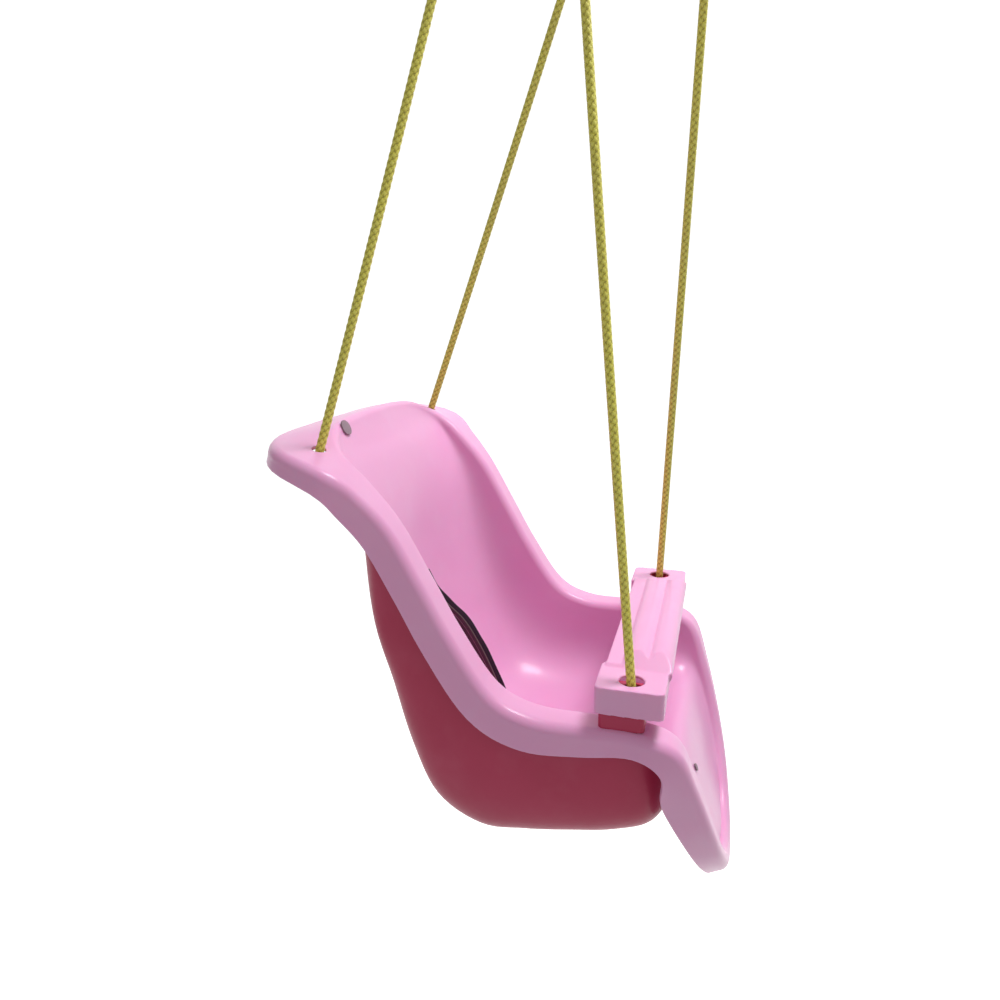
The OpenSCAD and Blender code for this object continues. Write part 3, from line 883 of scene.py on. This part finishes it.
PINK = moulded("seat_pink", colour=(0.88, 0.42, 0.69), deep=(0.86, 0.395, 0.665),
               scuffed=(0.88, 0.50, 0.73), roughness=0.32, glow=0.25, gloss=0.3)
# Deep rose that paints shade: the tub is the seat's pink plastic in deep shade, and the saddles stand
# where the guard's end blocks cast their shadow on the rim
ROSE_PAINTED_SHADE = moulded("tub_rose", colour=(0.52, 0.040, 0.110), deep=(0.47, 0.033, 0.092),
               scuffed=(0.58, 0.09, 0.17), roughness=0.40, glow=0.0, gloss=0.2)
paint([SEAT_PIECE, GUARD_PIECE], PINK)
# The tub and the saddles are coloured with this painted shade rather than the seat's pink
paint([TUB_PIECE, *SADDLES], ROSE_PAINTED_SHADE)
paint(ROPE_PIECES, braid_material())
paint([BELT_PIECE], webbing_material())
paint([PLUG_PIECE], grained_material("plug_black", colour=(0.022, 0.020, 0.025), roughness=0.42))

STEEL_NODES = ["ceiling_hook", "swivel_eye", "eye_nut", "hang_bar", "knot_washers", "tub_rivets",
               "belt_anchor"]
RIVET_NODES = ["back_rivet", "apron_rivet"]
SMALL_BEVEL = 0.5 * MM
ZINC = metal_material("zinc_steel", colour=(0.60, 0.61, 0.63), roughness=0.34)
RIVET_GREY = grained_material("rivet_grey", colour=(0.24, 0.16, 0.20), roughness=0.5)
paint([frame["nodes"][n] for n in STEEL_NODES], ZINC)
paint([frame["nodes"][n] for n in RIVET_NODES], RIVET_GREY)
for node in STEEL_NODES + RIVET_NODES:
    round_edges(frame["nodes"][node], SMALL_BEVEL, degrees=40, segments=2)


# ------------------------------------------------------------------ floor, backdrop and light

FLOOR_DROP = 0.35
FLOOR_Z = CAD_BOX[0].z - FLOOR_DROP
# How far the floor and the wall reach, and where and how roundly one turns into the other
BACKDROP = 6.0
SWEEP_FROM = 2.2
SWEEP_R = 1.2
BACKDROP_PALE = (0.90, 0.90, 0.90)
BACKDROP_WHITE = (0.93, 0.93, 0.93)
BACKDROP_GLOW = 0.8


def make_backdrop():
    """A pale floor that sweeps up into a wall behind the swing."""
    turn = np.radians(np.arange(ARC_STEP, 91, ARC_STEP))
    profile = [(-BACKDROP, 0), (SWEEP_FROM, 0)]
    profile += [(SWEEP_FROM + SWEEP_R * math.sin(a), SWEEP_R * (1 - math.cos(a))) for a in turn]
    profile.append((SWEEP_FROM + SWEEP_R, BACKDROP))
    verts = [(x, y, FLOOR_Z + z) for x in (-BACKDROP, BACKDROP) for y, z in profile]
    n = len(profile)
    faces = [(i, i + 1, n + i + 1, n + i) for i in range(n - 1)]
    sweep = mesh_object("backdrop", verts, faces)
    mat, nodes, links, shader = new_material("backdrop_white")
    mottle = noise(nodes, links, scale=1.5, detail=2)
    tone = ramp(nodes, links, mottle, [(0.0, BACKDROP_PALE), (1.0, BACKDROP_WHITE)])
    links.new(tone, shader.inputs["Base Color"])
    links.new(tone, shader.inputs["Emission Color"])
    shader.inputs["Emission Strength"].default_value = BACKDROP_GLOW
    shader.inputs["Roughness"].default_value = 0.9
    shader.inputs["Specular IOR Level"].default_value = 0.1
    paint([sweep], mat)
    # The bright backdrop would otherwise light the swing from below and behind
    sweep.visible_diffuse = False


# Places in millimetres in the seat's frame, sizes in metres, powers in watts
LIT_POINT = (-100, 0, 0)
LIGHTS = {"key": ((395, 255, 1500), 0.5, 21), "fill": ((300, -1800, 500), 1.5, 1)}
SKY_COLOUR = (1.0, 0.99, 0.98, 1)
SKY_STRENGTH = 0.38


def square_light(name, at, size, power):
    """A square lamp in the seat's frame, turned to face the seat."""
    data = bpy.data.lights.new(name, "AREA")
    data.shape = "SQUARE"
    data.size = size
    data.energy = power
    light = bpy.data.objects.new(name, data)
    light.location = in_seat(*at)
    light.rotation_euler = (in_seat(*LIT_POINT) - in_seat(*at)).to_track_quat("-Z", "Y").to_euler()
    scene.collection.objects.link(light)


def light_scene():
    world = bpy.data.worlds.new("studio")
    scene.world = world
    world.use_nodes = True
    background = world.node_tree.nodes["Background"]
    background.inputs["Color"].default_value = SKY_COLOUR
    background.inputs["Strength"].default_value = SKY_STRENGTH
    for name, (at, size, power) in LIGHTS.items():
        square_light(name, at, size, power)


scene.view_settings.view_transform = "Standard"
make_backdrop()
light_scene()
